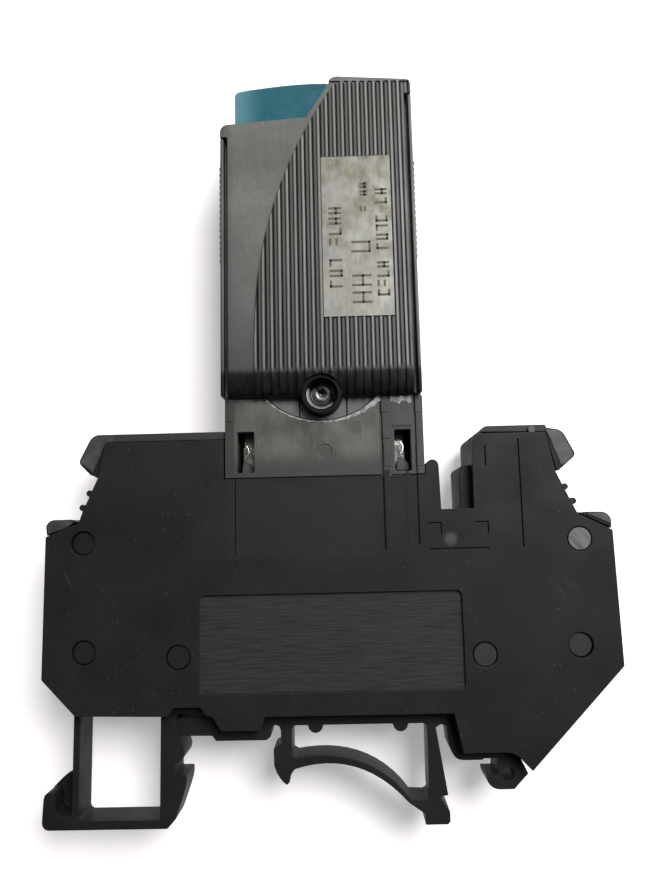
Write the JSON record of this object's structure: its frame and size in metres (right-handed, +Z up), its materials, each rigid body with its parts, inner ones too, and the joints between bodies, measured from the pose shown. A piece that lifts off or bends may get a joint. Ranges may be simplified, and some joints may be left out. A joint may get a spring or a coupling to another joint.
{
  "type": "plug-in circuit breaker in rail terminal block",
  "caption": "Slim ribbed plug-in thermal breaker with a reset button, seated in a screw terminal block with feet for a 35 mm rail.",
  "frame": {"origin": "middle of the outer box in X and Y, at the level of the lowest rail foot", "axes": "+Z up away from the rail, X along the block between its two wire entries with the sprung foot at -X, Y through its thickness with the end cover at -Y"},
  "size_m": [0.0636, 0.0122, 0.0856],
  "materials": {
    "block_plastic": "fine moulded grain, black",
    "socket_plastic": "worn olive black",
    "casing_plastic": "satin grey black with moulded ribs",
    "button_plastic": "translucent teal",
    "label_foil": "satin foil",
    "plated_steel": "bright zinc",
    "tinned_copper": "tinned copper alloy",
    "bimetal": "rolled strip",
    "contact_silver": "silver contact"
  },
  "bodies": {
    "terminal_block": {"base_housing": "block_plastic", "end_cover": "block_plastic", "plug_socket": "socket_plastic", "current_bar_left": "tinned_copper", "current_bar_right": "tinned_copper", "contact_clip_left": "tinned_copper", "contact_clip_right": "tinned_copper"},
    "latch_foot": {"rail_latch_foot": "block_plastic"},
    "screw_left": {"clamp_screw_left": "plated_steel"},
    "screw_right": {"clamp_screw_right": "plated_steel"},
    "cage_left": {"clamp_cage_left": "plated_steel"},
    "cage_right": {"clamp_cage_right": "plated_steel"},
    "breaker": {"breaker_lid": "casing_plastic", "breaker_tray": "casing_plastic", "casing_rivet": "plated_steel", "rating_label": "label_foil", "blade_left": "tinned_copper", "blade_right": "tinned_copper", "strip_carrier": "plated_steel", "fixed_contact": "contact_silver", "button_spring": "plated_steel"},
    "contact_arm": {"bimetal_strip": "bimetal", "moving_contact": "contact_silver"},
    "reset": {"reset_button": "button_plastic", "trip_slider": "block_plastic"}
  },
  "joints": [
    {"name": "plug_slide", "type": "slide", "parent": "terminal_block", "child": "breaker", "axis": [0, 0, 1], "range_m": [0, 0.016]},
    {"name": "reset_button_slide", "type": "slide", "parent": "breaker", "child": "reset", "axis": [0, 0, 1], "range_m": [0, 0.003], "deforming": ["button_spring"]},
    {"name": "contact_arm_hinge", "type": "hinge", "parent": "breaker", "child": "contact_arm", "pos_m": [-0.0036, 0, 0.053], "axis": [0, -1, 0], "range_deg": [0, 9]},
    {"name": "latch_foot_slide", "type": "slide", "parent": "terminal_block", "child": "latch_foot", "axis": [-1, 0, 0], "range_m": [0, 0.0012]},
    {"name": "clamp_screw_left_turn", "type": "hinge", "parent": "terminal_block", "child": "screw_left", "pos_m": [-0.021, 0, 0.035], "axis": [0, 0, -1], "range_deg": [0, 1800]},
    {"name": "clamp_cage_left_slide", "type": "slide", "parent": "terminal_block", "child": "cage_left", "axis": [0, 0, 1], "range_m": [0, 0.0035]},
    {"name": "clamp_screw_right_turn", "type": "hinge", "parent": "terminal_block", "child": "screw_right", "pos_m": [0.021, 0, 0.035], "axis": [0, 0, -1], "range_deg": [0, 1800]},
    {"name": "clamp_cage_right_slide", "type": "slide", "parent": "terminal_block", "child": "cage_right", "axis": [0, 0, 1], "range_m": [0, 0.0035]}
  ],
  "couplings": [
    {"joint": "contact_arm_hinge", "follows": "reset_button_slide", "rad_per_m": 52.3},
    {"joint": "clamp_screw_left_turn", "follows": "clamp_cage_left_slide", "rad_per_m": 8976},
    {"joint": "clamp_screw_right_turn", "follows": "clamp_cage_right_slide", "rad_per_m": 8976}
  ]
}
